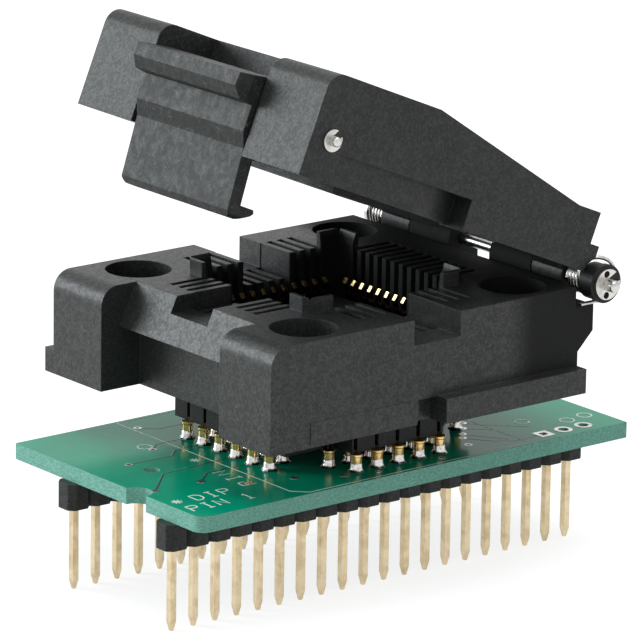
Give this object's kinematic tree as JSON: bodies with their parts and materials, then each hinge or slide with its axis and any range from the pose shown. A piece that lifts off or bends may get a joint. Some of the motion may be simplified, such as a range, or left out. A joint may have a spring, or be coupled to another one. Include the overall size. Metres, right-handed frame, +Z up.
{
  "type": "plcc to dip adapter",
  "caption": "Adapter that carries a lidded, spring-hinged chip socket with a front latch on a small circuit board, with two rows of pins underneath for a DIP socket",
  "frame": {"origin": "Middle of the two pin rows, in the plane of the pin tips", "axes": "X runs along the pin rows from the pin 1 end to the hinge end, Y across the rows from the pin 1 row to the other, Z up through the board to the socket"},
  "size_m": [0.053, 0.0377, 0.0523],
  "materials": {
    "board_green": "glossy solder mask",
    "strip_black": "moulded",
    "pin_gold": "gold plated",
    "contact_gold": "gold plated",
    "socket_black": "moulded, fine grain",
    "lid_black": "moulded, fine grain",
    "latch_black": "moulded, worn",
    "steel": "bright",
    "washer_black": "moulded"
  },
  "bodies": {
    "base": {"circuit_board": "board_green", "header_strip_near": "strip_black", "header_strip_far": "strip_black", "dip_pins_near": "pin_gold", "dip_pins_far": "pin_gold", "receptacles_left": "contact_gold", "receptacles_right": "contact_gold", "receptacles_near": "contact_gold", "receptacles_far": "contact_gold", "tail_guide": "socket_black", "contacts_left": "contact_gold", "contacts_right": "contact_gold", "contacts_near": "contact_gold", "contacts_far": "contact_gold", "socket_body": "socket_black", "hinge_pin": "steel", "hinge_bushing": "washer_black", "hinge_washer": "washer_black", "hinge_clip": "steel", "torsion_spring_near": "steel", "torsion_spring_far": "steel"},
    "lid": {"lid": "lid_black", "latch_pin": "steel", "latch_clips": "steel", "latch_spring": "steel"},
    "latch": {"latch": "latch_black"}
  },
  "joints": [
    {"name": "lid_hinge", "type": "hinge", "parent": "base", "child": "lid", "pos_m": [0.02115, 0.00203, 0.02787], "axis": [0, 1, 0], "range_deg": [-23.4, 77], "stiffness_Nm_per_rad": 0.006, "springref_deg": 15.47, "deforming": ["torsion_spring_near", "torsion_spring_far"]},
    {"name": "latch_pivot", "type": "hinge", "parent": "lid", "child": "latch", "pos_m": [-0.01181, 0.00203, 0.04634], "axis": [0, 1, 0], "range_deg": [0, 25], "stiffness_Nm_per_rad": 0.005, "springref_deg": -8.59}
  ]
}
